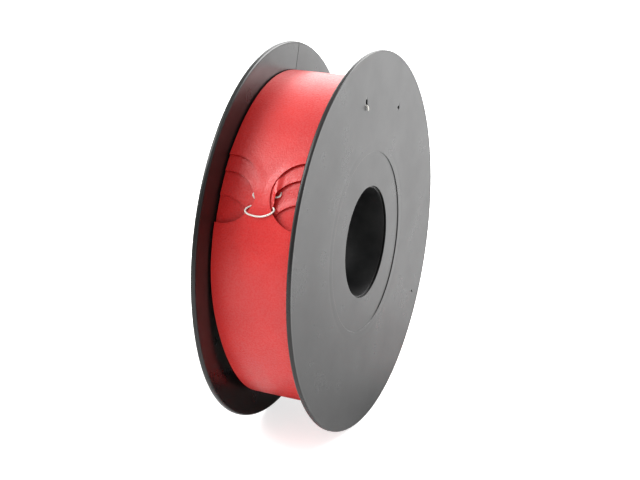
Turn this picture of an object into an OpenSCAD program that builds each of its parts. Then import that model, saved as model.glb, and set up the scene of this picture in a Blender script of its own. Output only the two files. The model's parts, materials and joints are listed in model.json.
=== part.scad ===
// String reel: two thin flanges on a ribbed drum, wound with racket string and wrapped in a
// red plastic sheet. The axle line is Y, Z is up, and the origin is the middle of the bore.
// The reel stands on the rims of its flanges.

/* [Reel] */
// Overall diameter of the flanges
flange_d = 160; // [156:1:180]
// Distance between the outer faces of the two flanges
reel_w = 43; // [39:1:60]
// Thickness of a flange
flange_t = 2.1; // [1.9:0.1:3]
// Thickness of the rounded rim of a flange
rim_t = 1.9; // [1.2:0.1:1.9]
// Width of the thinned outer band of a flange
band_w = 8; // [4:0.5:9]
// Depth of the round recess in a flange's outer face
recess_depth = 0.3; // [0.2:0.1:0.7]

/* [Drum] */
// Outer diameter of the barrel that the string is wound on
barrel_d = 82; // [76:1:90]
// Wall thickness of the barrel
barrel_wall = 2.9; // [2:0.1:4]
// Diameter of the spindle bore
bore_d = 45.8; // [38:0.2:50]
// Wall thickness of the spindle tube
tube_wall = 2.55; // [2:0.05:4]
// Number of ribs between the spindle tube and the barrel
rib_count = 6; // [3:1:12]
// Thickness of a rib
rib_t = 2; // [1:0.1:3]
// Width of the tube's end that shows inside the flange's hole
ledge_w = 0.7; // [0.3:0.1:1.2]
// Thickness of the flange's lip over the tube's end
lip_t = 0.9; // [0.7:0.1:1.2]

/* [String] */
// Diameter of the string
string_d = 0.7; // [0.65:0.05:1.1]
// Outer diameter of the wound string
winding_d = 129; // [126:0.1:136]
// Diameter of the spare hole for the string's end in the near flange
string_hole_d = 1.8; // [1.6:0.1:3]
// Direction of that hole, from X towards Z
string_hole_angle = 126.1; // [115:0.1:150]
// Width of the short slot that the string's inner end comes out of
string_slot_w = 1.8; // [1.6:0.1:3]
// Length of that slot, along the flange's radius
string_slot_len = 3.2; // [2:0.1:5]
// Direction of that slot, from X towards Z
string_slot_angle = 88.3; // [80:0.1:95]
// Distance of the hole's and the slot's middle from the axle line
string_hole_at = 60.5; // [50:0.1:61]
// Length of the slit in the rim of the far flange
slit_len = 18; // [6:1:18]
// Width of that slit
slit_w = 0.4; // [0.3:0.1:1]
// Direction of that slit, from X towards Z
slit_angle = 106.6; // [95:0.1:115]

/* [Cover] */
// Play between the wound string and the sheet's innermost turn
cover_play = 0.6; // [0.4:0.05:1]
// Thickness of the sheet
sheet_t = 0.38; // [0.2:0.02:0.42]
// Radial step from one turn of the sheet to the next
sheet_step = 0.47; // [0.46:0.01:0.55]
// Gap between the sheet's edge and a flange
sheet_side_gap = 0.7; // [0.3:0.1:2]
// Number of full turns of the sheet, each with a pair of notches
sheet_turns = 4; // [2:1:4]
// Radius of the round notches
notch_r = 14; // [10:0.5:15]
// Width of the neck that is left between a pair of notches
neck_w = 5.6; // [3:0.1:8]
// Direction of the outermost notches, from X towards Z
notch_angle = 32.9; // [20:0.1:60]
// Distance along the sheet from those notches back to the ones under them
notch_shift = 7.1; // [0:0.1:10]
// Angle of the last part turn of the sheet
last_turn_angle = 93; // [30:1:170]

/* [Hidden] */
$fn = 96;

rim_r = flange_d / 2;
half_w = reel_w / 2;                       // outer face of a flange
inner_face = half_w - flange_t;            // inner face of a flange
recess_floor = half_w - recess_depth;
boss_end = recess_floor - flange_t;        // the dished centre stands inwards this far
tube_end = recess_floor - lip_t;

fit_gap = 0.1;                             // between parts that are pushed together
barrel_r = barrel_d / 2;
barrel_inner_r = barrel_r - barrel_wall;
recess_r = barrel_inner_r - fit_gap;       // the recess and the boss behind it
bore_r = bore_d / 2;
tube_r = bore_r + tube_wall;
rib_end = boss_end;
arc_step = 30;                             // of the rim's round edge

string_r = string_d / 2;
winding_r = winding_d / 2;
winding_side_gap = 0.4;                    // between the wound string and a flange
winding_half = inner_face - winding_side_gap;
loop_gap = 0.42;                           // least gap between two loops of the outer layer
loop_rings = 24;                           // in one loop
loop_sides = 6;
layer_r = winding_r - string_r;            // middle of the outer layer's string
layer_w = 2 * winding_half - string_d;     // from its first loop to its last
loops = min(24, floor(layer_w / (string_d + loop_gap)));
layer_play = 0.05;                         // between the outer layer and those under it
core_r = layer_r * cos(180 / loop_rings) - string_r - layer_play;

sheet_half = inner_face - sheet_side_gap;
joint_angle = -60;                         // where one half turn of the sheet meets the next
half_turns = 2 * sheet_turns - 1;
cover_r = winding_r + cover_play + sheet_t + (half_turns - 0.5) * sheet_step / 2;
cut_reach = 5;                             // extra length of a cutting tool

gate_d = 1.2;                              // the moulding's gate mark on the near flange
gate_depth = 0.25;
gate_at = 70.5;
gate_angle = -142.9;

// The string's inner end, from the winding out through its slot: [x, y, z] from the middle of
// the string where it crosses the flange's outer face.
slot_play = 0.15;                          // between the string and the slot's inner end
inner_end_route = [[0, -1.9, 0], [0, -1.3, 0], [0, -0.7, 0], [0, -0.1, -0.04], [0, 0.35, -0.25],
    [-0.1, 0.57, -0.7], [-0.2, 0.6, -1.4], [-0.3, 0.55, -2.1], [-0.4, 0.48, -2.8]];

// The string's free end, round the neck between the notches: [y, degrees from X towards Z,
// height of its middle above the sheet's outer face].
tail_route = [[-6.6, 46, -1.7], [-6.1, 41, -1.7], [-5.6, 37, -1.5], [-5.2, 34.2, -0.9],
    [-5.1, 32.6, -0.5], [-4.8, 31.4, -0.4], [-4.0, 30.6, -0.7], [-2.6, 30.1, -1.3],
    [-0.9, 29.7, -1.6], [0.9, 29.2, -1.6], [2.7, 28.7, -1.3], [4.0, 28.4, -0.7],
    [5.0, 28.0, -0.1], [5.6, 27.2, 0.35], [5.0, 26.3, 0.45], [3.3, 25.5, 0.45],
    [1.0, 24.8, 0.45], [-1.2, 24.6, 0.45], [-3.6, 24.8, 0.45], [-5.5, 25.3, 0.4],
    [-6.6, 26.2, 0.2], [-6.3, 27.2, -0.2], [-5.2, 27.9, -0.5], [-3.4, 28.4, -0.7],
    [-1.2, 28.9, -0.75], [0.6, 29.5, -0.75], [2.6, 30.2, -0.7], [4.6, 31.2, -0.5],
    [6.2, 32.2, -0.3], [6.9, 33.5, -0.5], [7.2, 35.2, -1.2], [7.6, 37.5, -1.6],
    [7.8, 41, -1.7], [8.2, 46, -1.7]];

function cylinder_point(y, angle, r) = [r * cos(angle), y, r * sin(angle)];
function along(a, b, c, d, t) = 0.5 * (2 * b + (c - a) * t + (2 * a - 5 * b + 4 * c - d) * t * t
    + (3 * b - a - 3 * c + d) * t * t * t);
// The route with extra points on a smooth curve between those chosen.
function smoothed(p, parts) = let (last = len(p) - 1) [for (i = [0:last - 1]) for (k = [0:parts - 1])
    along(p[max(i - 1, 0)], p[i], p[i + 1], p[min(i + 2, last)], k / parts), p[last]];
function unit(v) = v / norm(v);
function heading(p, i) = unit(p[min(i + 1, len(p) - 1)] - p[max(i - 1, 0)]);
// One ring of a tube round p[i], with its first side towards the given direction.
function ring(p, i, r, sides, towards) = let (t = heading(p, i), side = unit(cross(t, towards)),
    out = cross(side, t)) [for (k = [0:sides - 1]) let (a = 360 * k / sides)
    p[i] + r * (cos(a) * out + sin(a) * side)];

// A round tube along the points p; towards[i] is a direction that is never along the tube.
module tube(p, r, towards, sides = 8) {
    n = len(p);
    points = [for (i = [0:n - 1]) each ring(p, i, r, sides, towards[i])];
    walls = [for (i = [0:n - 2]) for (k = [0:sides - 1]) let (a = i * sides + k,
        b = i * sides + (k + 1) % sides) each [[a, b, b + sides], [a, b + sides, a + sides]]];
    caps = [for (k = [1:sides - 2]) each [[0, k + 1, k], let (m = (n - 1) * sides) [m, m + k, m + k + 1]]];
    polyhedron(points, concat(walls, caps), convexity = 10);
}

// Turns a shape made round the Z axis so that its axis is Y and its top is the far side.
module axle_frame() {
    rotate([90, 0, 0]) children();
}

// A flange at the top of the Z axis, with its dished centre, thinned band and rounded rim.
module flange_disc() {
    rim_mid = inner_face + rim_t / 2;
    rim_arc = [for (a = [90:-arc_step:-90]) [rim_r - rim_t / 2 + rim_t / 2 * cos(a),
        rim_mid + rim_t / 2 * sin(a)]];
    rotate_extrude()
        polygon(concat([[bore_r + ledge_w, recess_floor], [recess_r, recess_floor],
            [recess_r, half_w], [rim_r - band_w, half_w]], rim_arc,
            [[recess_r, inner_face], [recess_r, boss_end], [tube_r + fit_gap, boss_end],
            [tube_r + fit_gap, tube_end], [bore_r + ledge_w, tube_end]]));
}

// The spare round hole and the slot for the string's inner end.
module string_holes() {
    slot_half = (string_slot_len - string_slot_w) / 2;
    translate([0, 0, inner_face - cut_reach]) {
        rotate([0, 0, string_hole_angle]) translate([string_hole_at, 0, 0])
            cylinder(d = string_hole_d, h = flange_t + 2 * cut_reach);
        rotate([0, 0, string_slot_angle]) translate([string_hole_at, 0, 0])
            linear_extrude(flange_t + 2 * cut_reach) {
                for (s = [-1, 1]) translate([s * slot_half, 0]) circle(d = string_slot_w);
                square([2 * slot_half, string_slot_w], center = true);
            }
    }
}

module slit() {
    rotate([0, 0, slit_angle]) translate([rim_r - slit_len, -slit_w / 2, inner_face - cut_reach])
        cube([slit_len + cut_reach, slit_w, flange_t + 2 * cut_reach]);
}

module gate_mark() {
    rotate([0, 0, gate_angle]) translate([gate_at, 0, half_w - gate_depth])
        cylinder(d = gate_d, h = cut_reach);
}

module near_flange() {
    color("dimgray") axle_frame() mirror([0, 0, 1]) difference() {
        flange_disc();
        string_holes();
        gate_mark();
    }
}

module far_flange() {
    color("dimgray") axle_frame() difference() {
        flange_disc();
        slit();
    }
}

// The moulded core: the spindle tube and the barrel, joined by ribs.
module drum() {
    color("black") axle_frame() difference() {
        union() {
            difference() {
                cylinder(r = barrel_r, h = 2 * inner_face, center = true);
                cylinder(r = barrel_inner_r, h = 2 * half_w, center = true);
            }
            cylinder(r = tube_r, h = 2 * tube_end, center = true);
            for (i = [0:rib_count - 1])
                rotate([0, 0, i * 360 / rib_count]) translate([tube_r - tube_wall / 2, -rib_t / 2, -rib_end])
                    cube([barrel_inner_r + barrel_wall / 2 - tube_r + tube_wall / 2, rib_t, 2 * rib_end]);
        }
        cylinder(r = bore_r, h = 2 * reel_w, center = true);
    }
}

// The layers under the outer one.
module string_winding() {
    color("ivory") axle_frame() difference() {
        cylinder(r = core_r, h = 2 * winding_half, center = true);
        cylinder(r = barrel_r, h = reel_w, center = true);
    }
}

// The outer layer of string: a helix, with one more point in line at each end.
layer_helix = [for (i = [0:loops * loop_rings])
    cylinder_point(layer_w * (i / (loops * loop_rings) - 0.5), 360 * i / loop_rings, layer_r)];
layer_last = len(layer_helix) - 1;
layer_path = concat(
    [layer_helix[0] + string_d * unit(layer_helix[0] - layer_helix[1])], layer_helix,
    [layer_helix[layer_last] + string_d * unit(layer_helix[layer_last] - layer_helix[layer_last - 1])]);
// From each point of the path to the nearest one a loop further on.
layer_gaps = [for (i = [0:len(layer_path) - loop_rings - 2], k = [-1:1])
    norm(layer_path[i] - layer_path[i + loop_rings + k]) - string_d];
echo(least_gap_between_loops = min(layer_gaps));

module string_outer_layer() {
    color("ivory") tube(layer_path, string_r, [for (q = layer_path) [q.x, 0, q.z]], loop_sides);
}

module string_inner_end() {
    at = string_hole_at - string_slot_len / 2 + slot_play + string_r;
    mouth = cylinder_point(half_w, string_slot_angle, at);
    start = [0, winding_half - half_w, 0];
    route = concat([start], [for (q = inner_end_route) if (q.y > start.y + string_r) q]);
    path = smoothed([for (q = route) mouth + q], 2);
    color("ivory") tube(path, string_r, [for (q = path) [1, 0, 0]]);
}

module string_tail() {
    steps = smoothed(tail_route, 2);
    path = [for (q = steps) cylinder_point(q[0], q[1], cover_r + q[2])];
    color("ivory") tube(path, string_r, [for (q = path) [q.x, 0, q.z]]);
}

// One half turn of the sheet. The half turns have two centres, so each runs smoothly into the next.
module half_turn(i, angle = 180) {
    outer = cover_r - (half_turns - 1 - i) * sheet_step / 2;
    rotate([0, 0, joint_angle]) translate([(i % 2 == 0 ? -1 : 1) * sheet_step / 4, 0, 0])
        rotate([0, 0, 180 * (i % 2)]) rotate_extrude(angle = angle)
            translate([outer - sheet_t, -sheet_half]) square([sheet_t, 2 * sheet_half]);
}

// How far along the sheet the notches n turns under the outermost lie behind them. A turn
// further in is shorter by the same length each time.
function notch_arc(n) = n * notch_shift + 2 * PI * sheet_step * n * (n - 1) / 2;

// The pair of notches n turns under the outermost, cut straight in towards the axle line.
module notch_pair(n) {
    rotate([0, 0, notch_angle - notch_arc(n) / cover_r * 180 / PI])
        for (s = [-1, 1]) translate([0, 0, s * (neck_w / 2 + notch_r)]) rotate([0, 90, 0])
            cylinder(r = notch_r, h = cover_r + cut_reach);
}

// The sheet, wound from the inside out, with a pair of notches in each full turn.
module cover_sheet() {
    color("red") axle_frame() union() {
        for (i = [0:half_turns - 1])
            difference() {
                half_turn(i);
                if (i % 2 == 0) notch_pair(sheet_turns - 1 - i / 2);
            }
        half_turn(half_turns, last_turn_angle);
    }
}

near_flange();
far_flange();
drum();
string_winding();
string_outer_layer();
string_inner_end();
string_tail();
cover_sheet();
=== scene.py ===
"""The string reel's looks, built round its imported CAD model. In metres; axle line Y, Z up."""

import json
import math

import bmesh
import bpy
from mathutils import Matrix, Vector

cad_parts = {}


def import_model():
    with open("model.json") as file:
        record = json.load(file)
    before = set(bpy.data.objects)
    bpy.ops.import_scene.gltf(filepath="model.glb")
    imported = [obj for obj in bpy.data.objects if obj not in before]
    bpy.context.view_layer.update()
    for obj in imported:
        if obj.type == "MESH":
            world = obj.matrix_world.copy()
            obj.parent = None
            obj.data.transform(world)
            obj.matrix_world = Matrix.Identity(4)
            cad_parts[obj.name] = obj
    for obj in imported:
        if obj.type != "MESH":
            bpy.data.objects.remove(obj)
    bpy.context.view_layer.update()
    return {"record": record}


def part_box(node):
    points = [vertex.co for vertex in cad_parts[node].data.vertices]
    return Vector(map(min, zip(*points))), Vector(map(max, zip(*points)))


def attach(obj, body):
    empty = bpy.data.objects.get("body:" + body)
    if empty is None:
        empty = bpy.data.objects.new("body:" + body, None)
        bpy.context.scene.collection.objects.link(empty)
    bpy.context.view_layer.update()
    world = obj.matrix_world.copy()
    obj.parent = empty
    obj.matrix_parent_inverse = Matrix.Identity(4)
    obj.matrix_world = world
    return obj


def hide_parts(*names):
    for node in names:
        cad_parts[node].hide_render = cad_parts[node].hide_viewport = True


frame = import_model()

MM = 0.001

# ---------------------------------------------------------------- sizes from the frame
FLANGE_LOW, FLANGE_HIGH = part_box("far_flange")
RIM_R = FLANGE_HIGH[0]
HALF_W = -FLANGE_LOW[1]
SHEET_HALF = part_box("cover_sheet")[1][1]
WINDING_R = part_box("string_outer_layer")[1][0]
BORE = next(m for m in frame["record"]["mounts"] if m["name"] == "spindle_bore")
BORE_R = BORE["dims"]["r_mm"] * MM
TUBE_END = BORE["dims"]["length_mm"] * MM / 2
BARREL_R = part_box("drum")[1][0]

# ---------------------------------------------------------------- sizes the frame doesn't say
FLANGE_T = 2.1 * MM
INNER_FACE = HALF_W - FLANGE_T
BARREL_WALL = 2.9 * MM
BARREL_INNER_R = BARREL_R - BARREL_WALL
TUBE_WALL = 2.55 * MM
TUBE_R = BORE_R + TUBE_WALL
STRING_R = 0.35 * MM


# ---------------------------------------------------------------- modelling helpers
def ease(t):
    """From 0 to 1 as t goes from 0 to 1, level at both ends."""
    t = min(max(t, 0), 1)
    return t * t * (3 - 2 * t)


def bulge(angle, middle, half_angle, flatness):
    """1 in the middle direction, falling to 0 at half_angle; more flatness, a broader top."""
    away = abs((angle - middle + 180) % 360 - 180)
    return ease(flatness * (1 - away / half_angle))


def start_piece(name, add, **options):
    """Adds a primitive with nothing else selected and leaves it in edit mode, all selected."""
    bpy.ops.object.select_all(action="DESELECT")
    add(**options)
    piece = bpy.context.object
    piece.name = name
    bpy.ops.object.mode_set(mode="EDIT")
    bpy.ops.mesh.select_all(action="SELECT")
    return piece


def end_edit():
    bpy.ops.object.mode_set(mode="OBJECT")


def apply_modifiers(piece):
    for modifier in list(piece.modifiers):
        bpy.ops.object.modifier_apply(modifier=modifier.name)


def smooth(piece, degrees):
    bpy.ops.object.select_all(action="DESELECT")
    piece.select_set(True)
    bpy.context.view_layer.objects.active = piece
    bpy.ops.object.shade_smooth_by_angle(angle=math.radians(degrees))


def bevel(piece, width):
    """Breaks the sharp edges."""
    modifier = piece.modifiers.new("edges", "BEVEL")
    modifier.width = width
    modifier.segments = 2
    modifier.limit_method = "ANGLE"
    modifier.angle_limit = math.radians(40)
    apply_modifiers(piece)


def lathe(name, outline, steps=256):
    """A closed outline of (radius, y) turned once round the axle line."""
    piece = start_piece(name, bpy.ops.mesh.primitive_plane_add, size=MM)
    bpy.ops.mesh.merge(type="CENTER")
    start = Vector((outline[0][0], outline[0][1], 0))
    bpy.ops.transform.translate(value=start)
    here = start
    for radius, y in outline[1:] + outline[:1]:
        there = Vector((radius, y, 0))
        bpy.ops.mesh.extrude_region_move(TRANSFORM_OT_translate={"value": there - here})
        here = there
    bpy.ops.mesh.select_all(action="SELECT")
    bpy.ops.mesh.spin(steps=steps, angle=math.tau, center=(0, 0, 0), axis=(0, 1, 0))
    bpy.ops.mesh.select_all(action="SELECT")
    bpy.ops.mesh.remove_doubles(threshold=0.002 * MM)
    bpy.ops.mesh.normals_make_consistent(inside=False)
    end_edit()
    return piece


def cut(piece, cutters):
    """Cuts each cutter's form out of the piece, and removes the cutters."""
    for cutter in cutters:
        modifier = piece.modifiers.new("cut", "BOOLEAN")
        modifier.operation = "DIFFERENCE"
        modifier.solver = "EXACT"
        modifier.object = cutter
    bpy.ops.object.select_all(action="DESELECT")
    piece.select_set(True)
    bpy.context.view_layer.objects.active = piece
    apply_modifiers(piece)
    for cutter in cutters:
        bpy.data.objects.remove(cutter, do_unlink=True)


def on_face(radius, degrees, y):
    """The point at that radius and direction, from X towards Z."""
    turn = math.radians(degrees)
    return Vector((radius * math.cos(turn), y, radius * math.sin(turn)))


def rod(name, radius, at, depth, vertices=48):
    """A cylinder along the axle line, as a cutter."""
    piece = start_piece(name, bpy.ops.mesh.primitive_cylinder_add, radius=radius, depth=depth,
                        vertices=vertices, rotation=(math.pi / 2, 0, 0), location=at)
    end_edit()
    bpy.ops.object.transform_apply(location=True, rotation=True, scale=True)
    return piece


def join(name, pieces):
    bpy.ops.object.select_all(action="DESELECT")
    for piece in pieces:
        piece.select_set(True)
    bpy.context.view_layer.objects.active = pieces[0]
    bpy.ops.object.join()
    pieces[0].name = name
    return pieces[0]


def dress(piece, material, slot, body, *nodes):
    """Gives the finished piece its material, the body it rides on and the nodes it replaces."""
    piece.data.materials.clear()
    piece.data.materials.append(material)
    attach(piece, body)
    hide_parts(*nodes)


# ---------------------------------------------------------------- shader groups
def new_group(name, inputs, outputs):
    """A node group with those float inputs, {name: default}, and outputs, {name: socket type}."""
    group = bpy.data.node_groups.new(name, "ShaderNodeTree")
    for label, default in inputs.items():
        socket = group.interface.new_socket(label, in_out="INPUT", socket_type="NodeSocketFloat")
        socket.default_value = default
    for label, kind in outputs.items():
        group.interface.new_socket(label, in_out="OUTPUT", socket_type=kind)
    return group, group.nodes.new("NodeGroupInput"), group.nodes.new("NodeGroupOutput")


def add_node(tree, kind, settings=None, **sockets):
    """Adds a node; each socket, named with _ for a space, gets a link or a constant."""
    node = tree.nodes.new(kind)
    for name, value in (settings or {}).items():
        setattr(node, name, value)
    for name, value in sockets.items():
        socket = node.inputs[name.replace("_", " ")]
        if isinstance(value, bpy.types.NodeSocket):
            tree.links.new(value, socket)
        else:
            socket.default_value = value
    return node


def work_out(tree, operation, a, b):
    """A Math node's result; a and b are sockets or numbers."""
    node = add_node(tree, "ShaderNodeMath", {"operation": operation})
    for socket, value in zip(node.inputs, (a, b)):
        if isinstance(value, bpy.types.NodeSocket):
            tree.links.new(value, socket)
        else:
            socket.default_value = value
    return node.outputs[0]


def moulded_grain_group():
    """Fine skin and broad clouding of a moulded face: Cloud and Skin, both about 0 to 1."""
    group, given, out = new_group(
        "moulded_grain", {"Skin Scale": 900, "Cloud Scale": 70},
        {"Cloud": "NodeSocketFloat", "Skin": "NodeSocketFloat"})
    where = group.nodes.new("ShaderNodeTexCoord").outputs["Object"]
    skin = add_node(group, "ShaderNodeTexNoise", Vector=where, Scale=given.outputs["Skin Scale"],
                    Detail=3, Roughness=0.6)
    cloud = add_node(group, "ShaderNodeTexNoise", Vector=where, Scale=given.outputs["Cloud Scale"],
                     Detail=5, Roughness=0.55)
    group.links.new(cloud.outputs["Fac"], out.inputs["Cloud"])
    group.links.new(skin.outputs["Fac"], out.inputs["Skin"])
    return group


def film_grain_group():
    """The pressed grain of plastic sheet: rounded cells with fine pits between them."""
    group, given, out = new_group(
        "film_grain", {"Cell Scale": 1500, "Cloud Scale": 55},
        {"Cloud": "NodeSocketFloat", "Height": "NodeSocketFloat"})
    where = group.nodes.new("ShaderNodeTexCoord").outputs["Object"]
    cells = add_node(group, "ShaderNodeTexVoronoi", {"feature": "SMOOTH_F1"}, Vector=where,
                     Scale=given.outputs["Cell Scale"], Smoothness=0.6)
    pits = add_node(group, "ShaderNodeTexNoise", Vector=where, Scale=given.outputs["Cell Scale"],
                    Detail=3, Roughness=0.6)
    cloud = add_node(group, "ShaderNodeTexNoise", Vector=where, Scale=given.outputs["Cloud Scale"],
                     Detail=4, Roughness=0.5)
    height = work_out(group, "ADD", work_out(group, "MULTIPLY", cells.outputs["Distance"], 0.6),
                      work_out(group, "MULTIPLY", pits.outputs["Fac"], 0.6))
    group.links.new(height, out.inputs["Height"])
    group.links.new(cloud.outputs["Fac"], out.inputs["Cloud"])
    return group


MOULDED_GRAIN = moulded_grain_group()
FILM_GRAIN = film_grain_group()


# ---------------------------------------------------------------- materials
def new_material(name, **constants):
    """A material with only a Principled shader, and constants set on its sockets."""
    material = bpy.data.materials.new(name)
    material.use_nodes = True
    tree = material.node_tree
    shader = tree.nodes["Principled BSDF"]
    for label, value in constants.items():
        shader.inputs[label.replace("_", " ")].default_value = value
    return material, tree, shader


def use_group(tree, group, **values):
    node = tree.nodes.new("ShaderNodeGroup")
    node.node_tree = group
    for label, value in values.items():
        node.inputs[label.replace("_", " ")].default_value = value
    return node


def map_range(tree, value, low, high, floor=0.3, ceiling=0.7):
    """Stretches floor to ceiling, a noise's usual span, onto low to high."""
    node = add_node(tree, "ShaderNodeMapRange", Value=value, From_Min=floor, From_Max=ceiling,
                    To_Min=low, To_Max=high)
    return node.outputs["Result"]


def shade_mix(tree, factor, dark, light):
    node = add_node(tree, "ShaderNodeMix", {"data_type": "RGBA"}, Factor=factor)
    colours = [socket for socket in node.inputs if socket.type == "RGBA"]
    colours[0].default_value = dark
    colours[1].default_value = light
    return next(socket for socket in node.outputs if socket.type == "RGBA")


def bump(tree, height, strength, distance):
    node = add_node(tree, "ShaderNodeBump", Height=height, Strength=strength, Distance=distance)
    return node.outputs["Normal"]


def flange_plastic():
    """Black plastic moulded with a satin face, which turns pale grey at a low angle."""
    material, tree, shader = new_material("satin_moulded_flange", IOR=1.5, Specular_IOR_Level=0.42)
    grain = use_group(tree, MOULDED_GRAIN, Skin_Scale=1400, Cloud_Scale=60)
    colour = shade_mix(tree, map_range(tree, grain.outputs["Cloud"], 0, 1),
                       (0.004, 0.004, 0.004, 1), (0.008, 0.008, 0.0075, 1))
    tree.links.new(colour, shader.inputs["Base Color"])
    tree.links.new(map_range(tree, grain.outputs["Cloud"], 0.26, 0.34), shader.inputs["Roughness"])
    tree.links.new(bump(tree, grain.outputs["Skin"], 0.25, 0.02 * MM), shader.inputs["Normal"])
    return material


def drum_plastic():
    """The core's plastic, duller and darker, with a coarser skin."""
    material, tree, shader = new_material("matt_moulded_drum", IOR=1.5, Specular_IOR_Level=0.25)
    grain = use_group(tree, MOULDED_GRAIN, Skin_Scale=700, Cloud_Scale=120)
    colour = shade_mix(tree, map_range(tree, grain.outputs["Cloud"], 0, 1),
                       (0.004, 0.004, 0.0045, 1), (0.012, 0.012, 0.012, 1))
    tree.links.new(colour, shader.inputs["Base Color"])
    tree.links.new(map_range(tree, grain.outputs["Skin"], 0.35, 0.5), shader.inputs["Roughness"])
    tree.links.new(bump(tree, grain.outputs["Skin"], 0.5, 0.06 * MM), shader.inputs["Normal"])
    return material


def cover_film():
    """Red plastic sheet with a fine pressed grain and a satin gloss."""
    material, tree, shader = new_material("red_grained_sheet", IOR=1.5, Specular_IOR_Level=0.35,
                                          Coat_Roughness=0.38)
    grain = use_group(tree, FILM_GRAIN, Cell_Scale=1500, Cloud_Scale=50)
    colour = shade_mix(tree, map_range(tree, grain.outputs["Cloud"], 0, 1),
                       (0.61, 0.014, 0.013, 1), (0.69, 0.024, 0.021, 1))
    tree.links.new(colour, shader.inputs["Base Color"])
    tree.links.new(map_range(tree, grain.outputs["Cloud"], 0.34, 0.42), shader.inputs["Roughness"])
    tree.links.new(map_range(tree, grain.outputs["Height"], 0, 0.6), shader.inputs["Coat Weight"])
    tree.links.new(bump(tree, grain.outputs["Height"], 1, 0.13 * MM), shader.inputs["Normal"])
    return material


def racket_string():
    """Clear-coated off-white nylon."""
    material, tree, shader = new_material("glossy_string", IOR=1.53, Coat_Weight=0.3,
                                          Coat_Roughness=0.15)
    grain = use_group(tree, MOULDED_GRAIN, Skin_Scale=2500, Cloud_Scale=400)
    colour = shade_mix(tree, map_range(tree, grain.outputs["Cloud"], 0, 1),
                       (0.80, 0.78, 0.70, 1), (0.90, 0.89, 0.84, 1))
    tree.links.new(colour, shader.inputs["Base Color"])
    tree.links.new(map_range(tree, grain.outputs["Skin"], 0.22, 0.34), shader.inputs["Roughness"])
    tree.links.new(bump(tree, grain.outputs["Skin"], 0.2, 0.01 * MM), shader.inputs["Normal"])
    return material


FLANGE_MATERIAL = flange_plastic()
DRUM_MATERIAL = drum_plastic()
COVER_MATERIAL = cover_film()
STRING_MATERIAL = racket_string()


# ---------------------------------------------------------------- flanges
# Angles are in degrees, from X towards Z.
RIM_T = 1.9 * MM
RIM_ROUND = 0.5 * MM
INNER_ROUND = 0.9 * MM
BAND_W = 8 * MM
BAND_START = RIM_R - BAND_W
RIM_DROP = HALF_W - INNER_FACE - RIM_T
BAND_FACE = HALF_W - RIM_DROP
FALL_FROM = 45 * MM
FALL_STEPS = 10
LIP_H = 0.12 * MM
LIP_START = 78.6 * MM

DRUM_PLAY = 0.1 * MM
RECESS_R = BARREL_INNER_R - DRUM_PLAY
RECESS_DEPTH = 0.3 * MM
RECESS_FLOOR = HALF_W - RECESS_DEPTH
CORNER = 0.04 * MM
BOSS_END = RECESS_FLOOR - FLANGE_T
LEDGE_W = 0.7 * MM
HOLE_EDGE_R = BORE_R + LEDGE_W
FLANGE_EDGE = 0.07 * MM

# The face has sunk a little where the barrel's wall stands behind it.
SINK_R = 41.2 * MM
SINK_HALF_W = 1.6 * MM
SINK_DEPTH = 0.018 * MM
SINK_STEPS = 4

SLOT_ANGLE = 88.3
SLOT_LEN = 3.2 * MM
HOLE_ANGLE = 126.1
HOLE_AT = 60.5 * MM
HOLE_R = 0.9 * MM
GATE_ANGLE = -142.9
GATE_AT = 70.5 * MM
GATE_R = 0.6 * MM
GATE_DEPTH = 0.25 * MM
SLIT_ANGLE = 106.6
SLIT_LEN = 18 * MM
SLIT_W = 0.4 * MM

# The thin flanges are bowed a little: the near one outwards at its back, the far one inwards
# round a middle direction, with a half angle and a flatness.
BOW_FROM = 45 * MM
NEAR_BOW = 0.6 * MM
FAR_BOW = 0.8 * MM
FAR_BOW_SPREAD = (60, 115, 2.3)


def rounding(radius, y, size, angles):
    """Points on a round of that size about (radius, y), from outwards towards +Y."""
    return [(radius + size * math.cos(math.radians(a)), y + size * math.sin(math.radians(a)))
            for a in angles]


def flange_outline():
    """The near flange's section, as (radius, y), from the bore's hole outwards and back inside.
    Some of its rings only keep the shading flat beside an edge."""
    recess = [(r, RECESS_FLOOR) for r in (HOLE_EDGE_R, HOLE_EDGE_R + 0.4 * MM, 30 * MM,
                                          RECESS_R - 0.3 * MM, RECESS_R - 2 * CORNER)]
    step = [(RECESS_R, RECESS_FLOOR + CORNER), (RECESS_R, HALF_W - CORNER),
            (RECESS_R + 2 * CORNER, HALF_W), (RECESS_R + 0.2 * MM, HALF_W)]
    sink = []
    for k in range(-SINK_STEPS, SINK_STEPS + 1):
        share = k / SINK_STEPS
        depth = SINK_DEPTH * math.cos(math.pi * share / 2) ** 2
        sink.append((SINK_R + SINK_HALF_W * share, HALF_W - depth))
    fall = []
    for k in range(FALL_STEPS + 1):
        share = k / FALL_STEPS
        fall.append((FALL_FROM + (BAND_START - FALL_FROM) * share,
                     HALF_W - RIM_DROP * ease(share)))
    band = [(r, BAND_FACE) for r in (75 * MM, LIP_START - 0.3 * MM, LIP_START)]
    rim = rounding(RIM_R - RIM_ROUND, BAND_FACE + LIP_H - RIM_ROUND, RIM_ROUND,
                   range(90, -1, -15))
    rim += rounding(RIM_R - INNER_ROUND, INNER_FACE + INNER_ROUND, INNER_ROUND,
                    range(0, -91, -10))
    inside = [(r * MM, INNER_FACE) for r in range(75, 40, -5)] + [(RECESS_R, INNER_FACE)]
    boss = [(RECESS_R, BOSS_END), (TUBE_R + DRUM_PLAY, BOSS_END), (TUBE_R + DRUM_PLAY, TUBE_END),
            (HOLE_EDGE_R, TUBE_END)]
    return recess + step + sink + fall + band + rim + inside + boss


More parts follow.
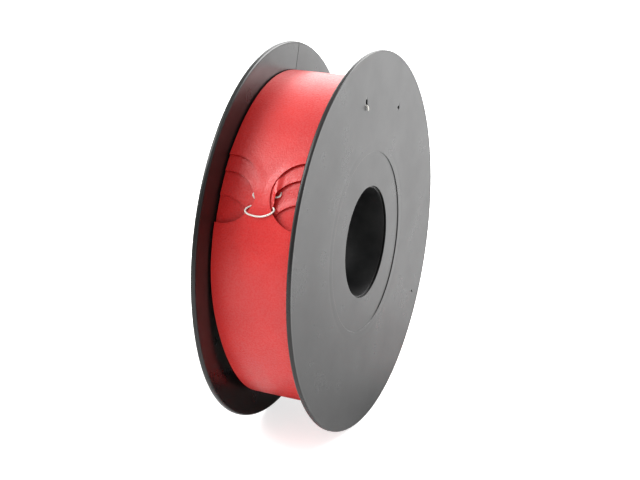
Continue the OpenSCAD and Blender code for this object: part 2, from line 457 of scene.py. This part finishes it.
def slot_cutter():
    """A rod stretched along the flange's radius into the string's slot."""
    at = on_face(HOLE_AT, SLOT_ANGLE, HALF_W)
    piece = rod("slot_cutter", HOLE_R, at, 4 * FLANGE_T, vertices=32)
    outward = on_face(1, SLOT_ANGLE, 0)
    stretch = SLOT_LEN / 2 - HOLE_R
    for vertex in piece.data.vertices:
        side = 1 if (vertex.co - at).dot(outward) > 0 else -1
        vertex.co += outward * side * stretch
    return piece


def gate_cutter():
    """A short rod that leaves the moulding gate's shallow round mark."""
    height = 2 * MM
    at = on_face(GATE_AT, GATE_ANGLE, BAND_FACE + height / 2 - GATE_DEPTH)
    return rod("gate_cutter", GATE_R, at, height)


def slit_cutter():
    """A thin blade across the far flange's rim."""
    piece = start_piece("slit_cutter", bpy.ops.mesh.primitive_cube_add, size=1)
    bpy.ops.transform.resize(value=(2 * SLIT_LEN, 4 * FLANGE_T, SLIT_W))
    bpy.ops.transform.translate(value=(RIM_R, -HALF_W, 0))
    end_edit()
    piece.data.transform(Matrix.Rotation(-math.radians(SLIT_ANGLE), 4, "Y"))
    return piece


def bow(piece, rise):
    """Bends a flange's outer part along the axle line; rise(degrees) says how far at the rim."""
    for vertex in piece.data.vertices:
        x, _, z = vertex.co
        share = ease((math.hypot(x, z) - BOW_FROM) / (RIM_R - BOW_FROM))
        vertex.co.y += share * rise(math.degrees(math.atan2(z, x)))


def near_bow(angle):
    return NEAR_BOW * (1 - math.cos(math.radians(angle))) / 2


def far_bow(angle):
    return FAR_BOW * bulge(angle, *FAR_BOW_SPREAD)


def near_flange():
    piece = lathe("near_flange_moulding", flange_outline())
    hole = rod("hole_cutter", HOLE_R, on_face(HOLE_AT, HOLE_ANGLE, HALF_W), 4 * FLANGE_T)
    cut(piece, [gate_cutter(), hole, slot_cutter()])
    bevel(piece, FLANGE_EDGE)
    bow(piece, near_bow)
    smooth(piece, 35)
    dress(piece, FLANGE_MATERIAL, "flange_plastic", "reel", "near_flange")


def far_flange():
    """The same moulding turned over, without the string's holes, and with a slit in its rim."""
    piece = lathe("far_flange_moulding", [(r, -y) for r, y in flange_outline()])
    bevel(piece, FLANGE_EDGE)
    cut(piece, [slit_cutter()])
    bow(piece, far_bow)
    smooth(piece, 35)
    dress(piece, FLANGE_MATERIAL, "flange_plastic", "reel", "far_flange")


near_flange()
far_flange()


# ---------------------------------------------------------------- drum
RIB_COUNT = 6
RIB_T = 2 * MM
DRUM_EDGE = 0.08 * MM


def rib(number):
    """One of the walls between the spindle tube and the barrel."""
    piece = start_piece("rib", bpy.ops.mesh.primitive_cube_add, size=1)
    length = BARREL_INNER_R - TUBE_R
    bpy.ops.transform.resize(value=(length, 2 * BOSS_END, RIB_T))
    bpy.ops.transform.translate(value=(TUBE_R + length / 2, 0, 0))
    end_edit()
    piece.data.transform(Matrix.Rotation(-number * math.tau / RIB_COUNT, 4, "Y"))
    return piece


def drum():
    tube = lathe("spindle_tube", [(BORE_R, -TUBE_END), (TUBE_R, -TUBE_END), (TUBE_R, 0),
                                  (TUBE_R, TUBE_END), (BORE_R, TUBE_END), (BORE_R, 0)])
    barrel = lathe("barrel", [(BARREL_INNER_R, -INNER_FACE), (BARREL_R, -INNER_FACE),
                              (BARREL_R, INNER_FACE), (BARREL_INNER_R, INNER_FACE)])
    piece = join("ribbed_drum", [tube, barrel] + [rib(number) for number in range(RIB_COUNT)])
    bevel(piece, DRUM_EDGE)
    smooth(piece, 35)
    dress(piece, DRUM_MATERIAL, "drum_plastic", "reel", "drum")


drum()


# ---------------------------------------------------------------- string
WINDING_PLAY = 0.4 * MM
WINDING_HALF = INNER_FACE - WINDING_PLAY
LOOPS = 32
LOOP_POINTS = 96
SHOULDER = 2.6 * MM
SHOULDER_ROWS = 8
CURVE_PARTS = 5


def smooth_curve(points):
    """More points, on a smooth curve through the given ones."""
    out = []
    last = len(points) - 1
    for i in range(last):
        a, b, c, d = (points[max(i - 1, 0)], points[i], points[i + 1], points[min(i + 2, last)])
        for k in range(CURVE_PARTS):
            t = k / CURVE_PARTS
            out.append(0.5 * (2 * b + (c - a) * t + (2 * a - 5 * b + 4 * c - d) * t * t
                              + (3 * b - a - 3 * c + d) * t ** 3))
    return out + [points[-1]]


def string_tube(name, points, sides):
    """A closed length of string along the points, with that even number of sides."""
    curve = bpy.data.curves.new(name, "CURVE")
    curve.dimensions = "3D"
    curve.bevel_depth = STRING_R
    curve.bevel_resolution = (sides - 4) // 2
    curve.use_fill_caps = True
    spline = curve.splines.new("POLY")
    spline.points.add(len(points) - 1)
    for target, point in zip(spline.points, points):
        target.co = (*point, 1)
    piece = bpy.data.objects.new(name, curve)
    bpy.context.collection.objects.link(piece)
    bpy.ops.object.select_all(action="DESELECT")
    piece.select_set(True)
    bpy.context.view_layer.objects.active = piece
    bpy.ops.object.convert(target="MESH")
    bpy.ops.object.shade_smooth()
    return bpy.context.object


def inner_layers_outline(layer_r):
    """The section of the layers under the outer one, with the edge of each layer rounded. The
    layers near the top get narrower, as wound string does."""
    pitch = 2 * STRING_R
    rows = int((layer_r - STRING_R - BARREL_R) / pitch)
    side = []
    for k in range(rows):
        end = WINDING_HALF - STRING_R - SHOULDER * ease(1 - (rows - 1 - k) / SHOULDER_ROWS)
        side += rounding(BARREL_R + pitch * (k + 0.5), end, STRING_R, range(150, 0, -30))
    return side + [(r, -y) for r, y in reversed(side)]


def wound_string():
    """The outer layer's loops over the layers inside."""
    layer_r = WINDING_R - STRING_R
    width = 2 * (WINDING_HALF - SHOULDER - STRING_R)
    helix = [on_face(layer_r, 360 * i / LOOP_POINTS, width * (i / (LOOPS * LOOP_POINTS) - 0.5))
             for i in range(LOOPS * LOOP_POINTS + 1)]
    layer = string_tube("outer_layer", helix, sides=8)
    core = lathe("inner_layers", inner_layers_outline(layer_r), steps=192)
    piece = join("wound_string", [layer, core])
    smooth(piece, 50)
    dress(piece, STRING_MATERIAL, "string", "reel", "string_winding", "string_outer_layer")


wound_string()

SLOT_PLAY = 0.15 * MM
# The inner end's route, in mm along X, Y and Z from where it leaves the slot.
INNER_END_ROUTE = [(0, -2.5, 0), (0, -1.9, 0), (0, -1.3, 0), (0, -0.7, 0), (0, -0.1, -0.04),
                   (0, 0.35, -0.25), (-0.1, 0.56, -0.7), (-0.2, 0.59, -1.4), (-0.3, 0.53, -2.1)]


def string_inner_end():
    at = HOLE_AT - SLOT_LEN / 2 + SLOT_PLAY + STRING_R
    mouth = on_face(at, SLOT_ANGLE, HALF_W)
    points = smooth_curve([mouth + Vector(p) * MM for p in INNER_END_ROUTE])
    piece = string_tube("inner_string_end", points, sides=14)
    dress(piece, STRING_MATERIAL, "string", "reel", "string_inner_end")


string_inner_end()


# ---------------------------------------------------------------- cover
SHEET_T = 0.38 * MM
SHEET_STEP = 0.47 * MM
SHEET_TURNS = 4
SHEET_START_ANGLE = -60
SHEET_END_ANGLE = 213
UNWIND_END = 360 * (SHEET_TURNS - 1) + SHEET_END_ANGLE - SHEET_START_ANGLE
SHEET_SLIDE = 0.55 * MM
# The outer face's radius, and after how many turns from its inner end the sheet has it.
COVER_R = 67.0 * MM
COVER_R_AT = SHEET_TURNS - 0.75

NOTCH_R = 14 * MM
NOTCH_Y = 16.8 * MM
NOTCH_ANGLE = 32.9
NOTCH_SHIFT = 7.1 * MM
NOTCH_REACH = 45 * MM


def face_radius(unwound):
    """The sheet's outer face, after that many degrees from its inner end."""
    return COVER_R + SHEET_STEP * (unwound / 360 - COVER_R_AT)


def run_of(unwound):
    """The sheet's length, on its middle, from its inner end to there."""
    turn = math.radians(unwound)
    return turn * (face_radius(0) - SHEET_T / 2) + SHEET_STEP * turn * turn / (4 * math.pi)


def unwound_at(run):
    """The other way round, to far less than a micrometre."""
    mean = face_radius(0) - SHEET_T / 2
    pitch = SHEET_STEP / math.tau
    return math.degrees((math.sqrt(mean * mean + 2 * pitch * run) - mean) / pitch)


def notch_shift(under):
    """How far back round the cover the notches lie that many turns under the outermost ones."""
    return under * NOTCH_SHIFT + math.pi * SHEET_STEP * under * (under - 1)


def notch_run(under):
    """Where along the sheet those notches lie."""
    angle = NOTCH_ANGLE - math.degrees(notch_shift(under) / COVER_R)
    return run_of(angle - SHEET_START_ANGLE + 360 * (SHEET_TURNS - 1 - under))


def notch_arc(under):
    """Where they lie in mm round the cover."""
    return (math.radians(NOTCH_ANGLE) * COVER_R - notch_shift(under)) / MM


NOTCH_RUNS = [notch_run(under) for under in range(SHEET_TURNS)]

# From here to film_shift all lengths are in mm: y along the axle line, and arc round the cover.

# How far the notches' edges stand off the turn below: at the top, by the neck and at the bottom
# of a notch, on the far flange's side and on the near flange's. EDGE_SHARE is for each turn,
# EDGE_REACH is outside the edge, and EDGE_FREE inside the notches of the turns above.
EDGE_LIFT = {-1: (0.25, 0.03, 0), 1: (0.55, 0.12, 0.15)}
EDGE_SHARE = (1, 0.8, 0.6, 0.3)
EDGE_REACH = 3.5
EDGE_FREE = 2.5

# The tied string lifts the neck of the two outer turns and dents the turns under them.
KNOT_ARC = 35.5
KNOT_FLATNESS = 1.25
KNOT_LIFT = 0.65
KNOT_LIFT_HALF = (15, 12)
KNOT_DENT = 0.25
KNOT_DENT_HALF = (14, 11)

# The second turn has a fold beside its neck, and the neck is pulled towards the near flange.
FLAP_LIFT = 0.75
FLAP_START, FLAP_CREST, FLAP_END = 2.4, 5, 6
FLAP_BOTTOM, FLAP_TOP, FLAP_EASE = 31, 47, 4
PULL = 1.85
PULL_START, PULL_EASE_IN = -2, 4
PULL_END, PULL_EASE_OUT = 11, 5
PULL_BOTTOM, PULL_MIDDLE, PULL_TOP = 25, 33.5, 41


def notch_gap(under, y, arc):
    """Distance outside a notch's edge, the direction to there from its middle, and its side."""
    side = 1 if y > 0 else -1
    across, along = abs(y) - NOTCH_Y / MM, arc - notch_arc(under)
    far = max(math.hypot(across, along), 0.001)
    return far - NOTCH_R / MM, across / far, along / far, side


def edge_lift(under, y, arc):
    """How far a notch's edge stands off the turn below."""
    gap, across, along, side = notch_gap(under, y, arc)
    top, neck, bottom = EDGE_LIFT[side]
    lift = max(along, 0) * top + max(-across, 0) * neck + max(-along, 0) * bottom
    lift *= EDGE_SHARE[under] * ease(1 - max(gap, 0) / EDGE_REACH)
    for above in range(under):
        lift *= ease(-notch_gap(above, y, arc)[0] / EDGE_FREE)
    return lift


def mound(y, arc, half_y, half_arc):
    """1 where the string is tied round the neck, falling to 0 at those distances."""
    return ease(KNOT_FLATNESS * (1 - math.hypot(y / half_y, (arc - KNOT_ARC) / half_arc)))


def flap_lift(y, arc):
    """The fold in the second turn."""
    if y < FLAP_CREST:
        rise = ease((y - FLAP_START) / (FLAP_CREST - FLAP_START))
    else:
        rise = ease((FLAP_END - y) / (FLAP_END - FLAP_CREST))
    return (FLAP_LIFT * rise * ease((FLAP_TOP - arc) / FLAP_EASE)
            * ease((arc - FLAP_BOTTOM) / FLAP_EASE))


def film_lift(under, y, arc):
    """How far a turn stands out from its true round."""
    if under < 2:
        lift = KNOT_LIFT * mound(y, arc, *KNOT_LIFT_HALF)
    else:
        lift = -KNOT_DENT * mound(y, arc, *KNOT_DENT_HALF)
    if under == 1:
        lift += flap_lift(y, arc)
    return lift + edge_lift(under, y, arc)


def film_shift(under, y, arc):
    """How far the second turn's neck is pulled towards the near flange."""
    if under != 1:
        return 0
    if arc > PULL_MIDDLE:
        along = ease((PULL_TOP - arc) / (PULL_TOP - PULL_MIDDLE))
    else:
        along = ease((arc - PULL_BOTTOM) / (PULL_MIDDLE - PULL_BOTTOM))
    return (PULL * along * ease((y - PULL_START) / PULL_EASE_IN)
            * ease((PULL_END - y) / PULL_EASE_OUT))


# The sheet is loose: round its underside it hangs off the winding, it bulges a little on top, and
# its far edge creeps inwards. A spread is a middle direction, a half angle and a flatness.
SAG = 2.6 * MM
SAG_TAPER = 80 * MM
SAG_SPREAD = (-88, 75, 1.6)
CROWN = 1.0 * MM
CROWN_SPREAD = (118, 70, 1.6)
CREEP = 2.4 * MM
CREEP_SPREAD = (-62, 70, 1.2)


def looseness(angle, y):
    """How far the sheet stands off its round form there, from X towards Z in degrees."""
    return (SAG * (1 + y / SAG_TAPER) * bulge(angle, *SAG_SPREAD)
            + CROWN * bulge(angle, *CROWN_SPREAD))


def creep(angle, y):
    """How far the sheet's far edge has crept towards the middle there."""
    return CREEP * max(-y, 0) / SHEET_HALF * bulge(angle, *CREEP_SPREAD)


SHEET_FACES_ALONG = 560
SHEET_FACES_ACROSS = 14
FINE_REACH = 21 * MM
PUNCH_LEN = 4 * MM


def flat_sheet():
    """The sheet as it is before it is wound: its length along X, with finer faces round the
    places of the notches."""
    length = run_of(UNWIND_END)
    piece = start_piece("notched_cover_sheet", bpy.ops.mesh.primitive_grid_add, size=1,
                        x_subdivisions=SHEET_FACES_ALONG, y_subdivisions=SHEET_FACES_ACROSS)
    bpy.ops.transform.resize(value=(length, 2 * SHEET_HALF, 1))
    bpy.ops.transform.translate(value=(length / 2, 0, -SHEET_T / 2))
    grid = bmesh.from_edit_mesh(piece.data)
    for face in grid.faces:
        face.select_set(any(abs(face.calc_center_median().x - run) < FINE_REACH
                            for run in NOTCH_RUNS))
    bpy.ops.mesh.subdivide(number_cuts=2)
    bpy.ops.mesh.select_all(action="SELECT")
    bpy.ops.mesh.extrude_region_move(TRANSFORM_OT_translate={"value": (0, 0, SHEET_T)})
    bpy.ops.mesh.select_all(action="SELECT")
    bpy.ops.mesh.normals_make_consistent(inside=False)
    end_edit()
    return piece


def punch(run, side):
    """A cutter for one notch, across the flat sheet."""
    piece = start_piece("punch", bpy.ops.mesh.primitive_cylinder_add, radius=NOTCH_R,
                        depth=PUNCH_LEN, vertices=160, location=(run, side * NOTCH_Y, 0))
    end_edit()
    bpy.ops.object.transform_apply(location=True, rotation=True, scale=True)
    return piece


def wind_up(piece):
    """Moves the flat sheet's points to their places on the winding."""
    for vertex in piece.data.vertices:
        run, y, height = vertex.co
        unwound = unwound_at(run)
        under = min(range(SHEET_TURNS), key=lambda n: abs(run - NOTCH_RUNS[n]))
        past = run - NOTCH_RUNS[under]
        if abs(past) < NOTCH_REACH:
            arc = notch_arc(under) + past / MM
            height += film_lift(under, y / MM, arc) * MM
            y += film_shift(under, y / MM, arc) * MM
        angle = unwound + SHEET_START_ANGLE
        radius = face_radius(unwound) - SHEET_T / 2 + height + looseness(angle, y)
        vertex.co = on_face(radius, angle, y + SHEET_SLIDE + creep(angle, y))


def cover_sheet():
    """The sheet is made flat, has its notches punched, and is then wound up."""
    piece = flat_sheet()
    cut(piece, [punch(run, side) for run in NOTCH_RUNS for side in (-1, 1)])
    bpy.ops.object.mode_set(mode="EDIT")
    bpy.ops.mesh.select_all(action="SELECT")
    bpy.ops.mesh.quads_convert_to_tris()
    # Winding the sheet up turns its faces inside out, so they are turned over first.
    bpy.ops.mesh.flip_normals()
    end_edit()
    wind_up(piece)
    smooth(piece, 40)
    dress(piece, COVER_MATERIAL, "cover_plastic", "cover", "cover_sheet")


cover_sheet()


# ---------------------------------------------------------------- tied string
# The string's free end: (y in mm, place round the cover in mm, the turn that it lies on, counted
# inwards, and how far it is above that turn, in mm).
TAIL_ROUTE = [(-6.6, 53, 2, -0.9), (-5.4, 47, 2, -0.9), (-4.4, 42.5, 2, -0.9),
              (-4.1, 40, 2, -0.7), (-4.35, 38.4, 2, 0), (-4.75, 37.5, 2, 0.05),
              (-4.6, 36.8, 2, 0.1), (-3.6, 35.9, 2, 0.15),
              (-1.6, 35.1, 2, 0.4), (0.4, 34.5, 2, 0.5), (2.4, 33.8, 2, 0.5),
              (3.8, 33.4, 2, 0.5), (4.9, 32.9, 2, 0.7), (5.6, 31.9, 2, 1.0), (5.0, 30.8, 0, 0.05),
              (3.3, 29.8, 0, 0), (1.0, 29.0, 0, 0), (-1.2, 28.8, 0, 0), (-3.6, 29.0, 0, 0),
              (-5.5, 29.5, 0, 0), (-6.6, 30.5, 2, 0.7), (-6.3, 31.5, 2, 0.3),
              (-5.4, 32.3, 2, 0.1), (-3.6, 33.1, 2, -0.1), (-1.2, 33.9, 2, -0.15),
              (0.6, 34.9, 2, -0.15), (2.6, 36.3, 2, -0.05), (4.3, 37.2, 2, 0.05),
              (5.5, 37.5, 2, 0.05), (6.25, 37.9, 2, 0.05), (6.55, 38.5, 2, 0),
              (6.4, 39.2, 2, -0.5), (6.4, 41, 2, -0.9), (7.0, 45, 2, -0.9), (8.3, 53, 2, -0.9)]


def string_tail():
    points = []
    for y, arc, under, above in TAIL_ROUTE:
        height = (above + film_lift(under, y, arc)) * MM - under * SHEET_STEP + STRING_R
        angle = math.degrees(arc * MM / COVER_R)
        points.append(on_face(COVER_R + height, angle, y * MM + SHEET_SLIDE))
    piece = string_tube("tied_string_tail", smooth_curve(points), sides=14)
    dress(piece, STRING_MATERIAL, "string", "cover", "string_tail")


string_tail()


# ---------------------------------------------------------------- camera, floor and light
CAMERA_DISTANCE = 0.732
CAMERA_AZIMUTH = 112.6
CAMERA_ELEVATION = 20.05
CAMERA_LENS = 97.66
AIM_RIGHT = 0.31 * MM
AIM_UP = -1.99 * MM

FLOOR_SIZE = 12
FLOOR_GAP = 0.02 * MM
FLOOR_GLOW = 0.72
FLOOR_WHITE = (0.9, 0.9, 0.9, 1)
# Painted shade on the floor: a grey patch under the reel that stands in for its shadow and darkens
# what its faces mirror; its colour, its middle, and where it starts and stops fading.
FLOOR_PAINTED_SHADE = (0.25, 0.25, 0.25, 1)
PAINTED_SHADE_MIDDLE = (-0.02, -0.03, -RIM_R)
PAINTED_SHADE_FROM = 0.02
PAINTED_SHADE_TO = 0.075

# The world's light falls to DIM_LEVEL as its direction's share along DIM_SIDE rises.
DIM_SIDE = (0.90, 0.15, 0.05)
DIM_FROM = 0.2
DIM_TO = 0.8
DIM_LEVEL = 0.4

# Each lamp's name, place, width in metres and power in watts.
LAMPS = [("softbox", (0.38, -0.75, 0.75), 0.6, 10.4),
         ("floor_light", (-0.95, 0.50, 0.60), 0.8, 18.6),
         ("rim_light", (0.40, -1.00, 0.05), 0.5, 2.2),
         ("back_light", (-1.00, -0.55, 0.48), 0.75, 4.5)]


def camera():
    """Placed by distance, azimuth and elevation from the reel, with a small aim offset."""
    azimuth, elevation = math.radians(CAMERA_AZIMUTH), math.radians(CAMERA_ELEVATION)
    back = Vector((math.sin(azimuth) * math.cos(elevation),
                   -math.cos(azimuth) * math.cos(elevation), math.sin(elevation)))
    right = Vector((0, 0, 1)).cross(back).normalized()
    up = back.cross(right)
    data = bpy.data.cameras.new("studio_camera")
    data.sensor_width = 36
    data.lens = CAMERA_LENS
    data.clip_start = 0.01
    data.clip_end = 20
    eye = bpy.data.objects.new("studio_camera", data)
    bpy.context.collection.objects.link(eye)
    place = Matrix((right, up, back)).transposed().to_4x4()
    place.translation = back * CAMERA_DISTANCE + right * AIM_RIGHT + up * AIM_UP
    eye.matrix_world = place
    bpy.context.scene.camera = eye


def floor():
    """White, with a grey patch of painted shade where the reel stands, and some glow that only the
    camera sees.
    """
    piece = start_piece("floor", bpy.ops.mesh.primitive_plane_add, size=FLOOR_SIZE)
    bpy.ops.transform.translate(value=(0, 0, -RIM_R - FLOOR_GAP))
    end_edit()
    material, tree, shader = new_material("white_floor", Roughness=0.9, Specular_IOR_Level=0.1)
    where = tree.nodes.new("ShaderNodeTexCoord").outputs["Object"]
    away = add_node(tree, "ShaderNodeVectorMath", {"operation": "DISTANCE"})
    tree.links.new(where, away.inputs[0])
    away.inputs[1].default_value = PAINTED_SHADE_MIDDLE
    # The base colour turns grey near the reel: painted shade standing in for the reel's shadow.
    share = map_range(tree, away.outputs["Value"], 0, 1, PAINTED_SHADE_FROM, PAINTED_SHADE_TO)
    tree.links.new(shade_mix(tree, share, FLOOR_PAINTED_SHADE, FLOOR_WHITE), shader.inputs["Base Color"])
    path = tree.nodes.new("ShaderNodeLightPath")
    level = work_out(tree, "MULTIPLY", path.outputs["Is Camera Ray"], FLOOR_GLOW)
    glow = add_node(tree, "ShaderNodeEmission", Color=(1, 1, 1, 1), Strength=level)
    both = tree.nodes.new("ShaderNodeAddShader")
    tree.links.new(shader.outputs["BSDF"], both.inputs[0])
    tree.links.new(glow.outputs["Emission"], both.inputs[1])
    tree.links.new(both.outputs[0], tree.nodes["Material Output"].inputs["Surface"])
    piece.data.materials.append(material)


def world():
    """White behind the reel; the light that it gives the reel is dimmer on the camera's side."""
    scene_world = bpy.data.worlds.new("studio")
    scene_world.use_nodes = True
    bpy.context.scene.world = scene_world
    tree = scene_world.node_tree
    background = tree.nodes["Background"]
    background.inputs["Color"].default_value = (1, 1, 1, 1)
    where = tree.nodes.new("ShaderNodeTexCoord").outputs["Generated"]
    facing = add_node(tree, "ShaderNodeVectorMath", {"operation": "DOT_PRODUCT"})
    tree.links.new(where, facing.inputs[0])
    facing.inputs[1].default_value = DIM_SIDE
    dim = map_range(tree, facing.outputs["Value"], 1, DIM_LEVEL, DIM_FROM, DIM_TO)
    path = tree.nodes.new("ShaderNodeLightPath")
    level = tree.nodes.new("ShaderNodeMix")
    tree.links.new(path.outputs["Is Camera Ray"], level.inputs["Factor"])
    tree.links.new(dim, level.inputs["A"])
    level.inputs["B"].default_value = 1
    tree.links.new(level.outputs["Result"], background.inputs["Strength"])


def lamp(name, at, size, power):
    """A square soft light that faces the reel."""
    data = bpy.data.lights.new(name, "AREA")
    data.shape = "SQUARE"
    data.size = size
    data.energy = power
    light = bpy.data.objects.new(name, data)
    light.location = at
    light.rotation_euler = (-Vector(at)).to_track_quat("-Z", "Y").to_euler()
    bpy.context.collection.objects.link(light)


bpy.context.scene.view_settings.view_transform = "Standard"
camera()
floor()
world()
for name, at, size, power in LAMPS:
    lamp(name, at, size, power)
